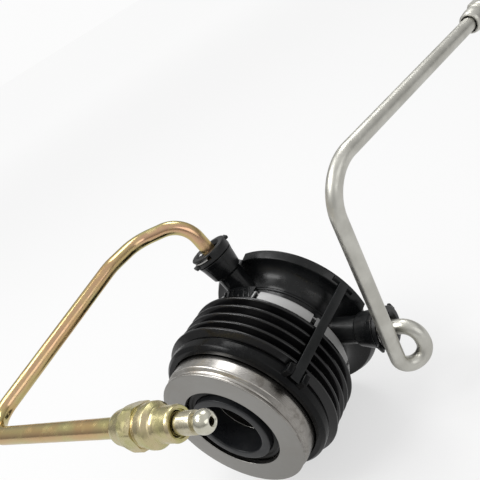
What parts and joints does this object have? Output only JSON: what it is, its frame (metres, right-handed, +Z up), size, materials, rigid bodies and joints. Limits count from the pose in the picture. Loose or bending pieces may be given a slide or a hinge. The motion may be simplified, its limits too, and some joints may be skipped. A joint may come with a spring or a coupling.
{
  "type": "clutch release bearing",
  "caption": "Hydraulic clutch release bearing that slides on its guide tube, with a rubber boot, a looped supply pipe with its nut, and a bleed pipe with its bleeder.",
  "frame": {"origin": "centre of the flange's back face on the bearing axis", "axes": "+Y from the contact face to the flange's back face along the bearing axis, +X out along the supply port, +Z up"},
  "size_m": [0.1328, 0.2109, 0.1076],
  "materials": {
    "black_plastic": "satin moulded",
    "black_rubber": "satin",
    "strap_nylon": "matte",
    "grey_plastic": "satin",
    "bearing_steel": "ground",
    "shell_steel": "pressed",
    "pipe_steel": "satin plated",
    "yellow_zinc": "yellow zinc plated",
    "pale_zinc": "pale yellow zinc plated"
  },
  "bodies": {
    "body": {"guide_tube": "bearing_steel", "guide_seal": "black_rubber", "housing": "black_plastic", "spring_seat": "shell_steel", "preload_spring": "bearing_steel", "boot": "black_rubber", "supply_pipe_seal": "black_rubber", "supply_clip": "bearing_steel", "supply_retainer": "black_plastic", "bleed_pipe_seal": "black_rubber", "bleed_clip": "bearing_steel", "bleed_retainer": "black_plastic", "supply_pipe": "pipe_steel", "bleed_pipe": "yellow_zinc", "bleeder_body": "pale_zinc", "upper_strap": "strap_nylon", "lower_strap": "strap_nylon"},
    "slider": {"piston": "grey_plastic", "piston_seal": "black_rubber", "bearing_carrier": "black_plastic", "inner_race": "bearing_steel", "front_seal": "black_rubber"},
    "race": {"contact_race": "bearing_steel", "rear_shield": "shell_steel"},
    "cage": {"ball_cage": "grey_plastic", "ball_01": "bearing_steel", "ball_02": "bearing_steel", "ball_03": "bearing_steel", "ball_04": "bearing_steel", "ball_05": "bearing_steel", "ball_06": "bearing_steel", "ball_07": "bearing_steel", "ball_08": "bearing_steel", "ball_09": "bearing_steel", "ball_10": "bearing_steel", "ball_11": "bearing_steel", "ball_12": "bearing_steel"},
    "bleed_screw": {"bleeder_screw": "pale_zinc"},
    "nut": {"supply_nut": "pipe_steel"}
  },
  "joints": [
    {"name": "bearing_slide", "type": "slide", "parent": "body", "child": "slider", "axis": [0, -1, 0], "range_m": [0, 0.012], "deforming": ["boot", "preload_spring"]},
    {"name": "race_spin", "type": "hinge", "parent": "slider", "child": "race", "pos_m": [0, -0.052, 0], "axis": [0, -1, 0], "continuous": true},
    {"name": "cage_spin", "type": "hinge", "parent": "slider", "child": "cage", "pos_m": [0, -0.052, 0], "axis": [0, -1, 0], "continuous": true},
    {"name": "bleed_screw_turn", "type": "hinge", "parent": "body", "child": "bleed_screw", "pos_m": [0.04861, -0.10072, 0.05564], "axis": [0.9969, 0.065, 0.045], "range_deg": [0, 270]},
    {"name": "supply_nut_spin", "type": "hinge", "parent": "body", "child": "nut", "pos_m": [0.08306, 0.09086, 0.06716], "axis": [0.2391, 0.971, -0.0084], "continuous": true}
  ],
  "couplings": [
    {"joint": "cage_spin", "follows": "race_spin", "ratio": 0.54}
  ]
}
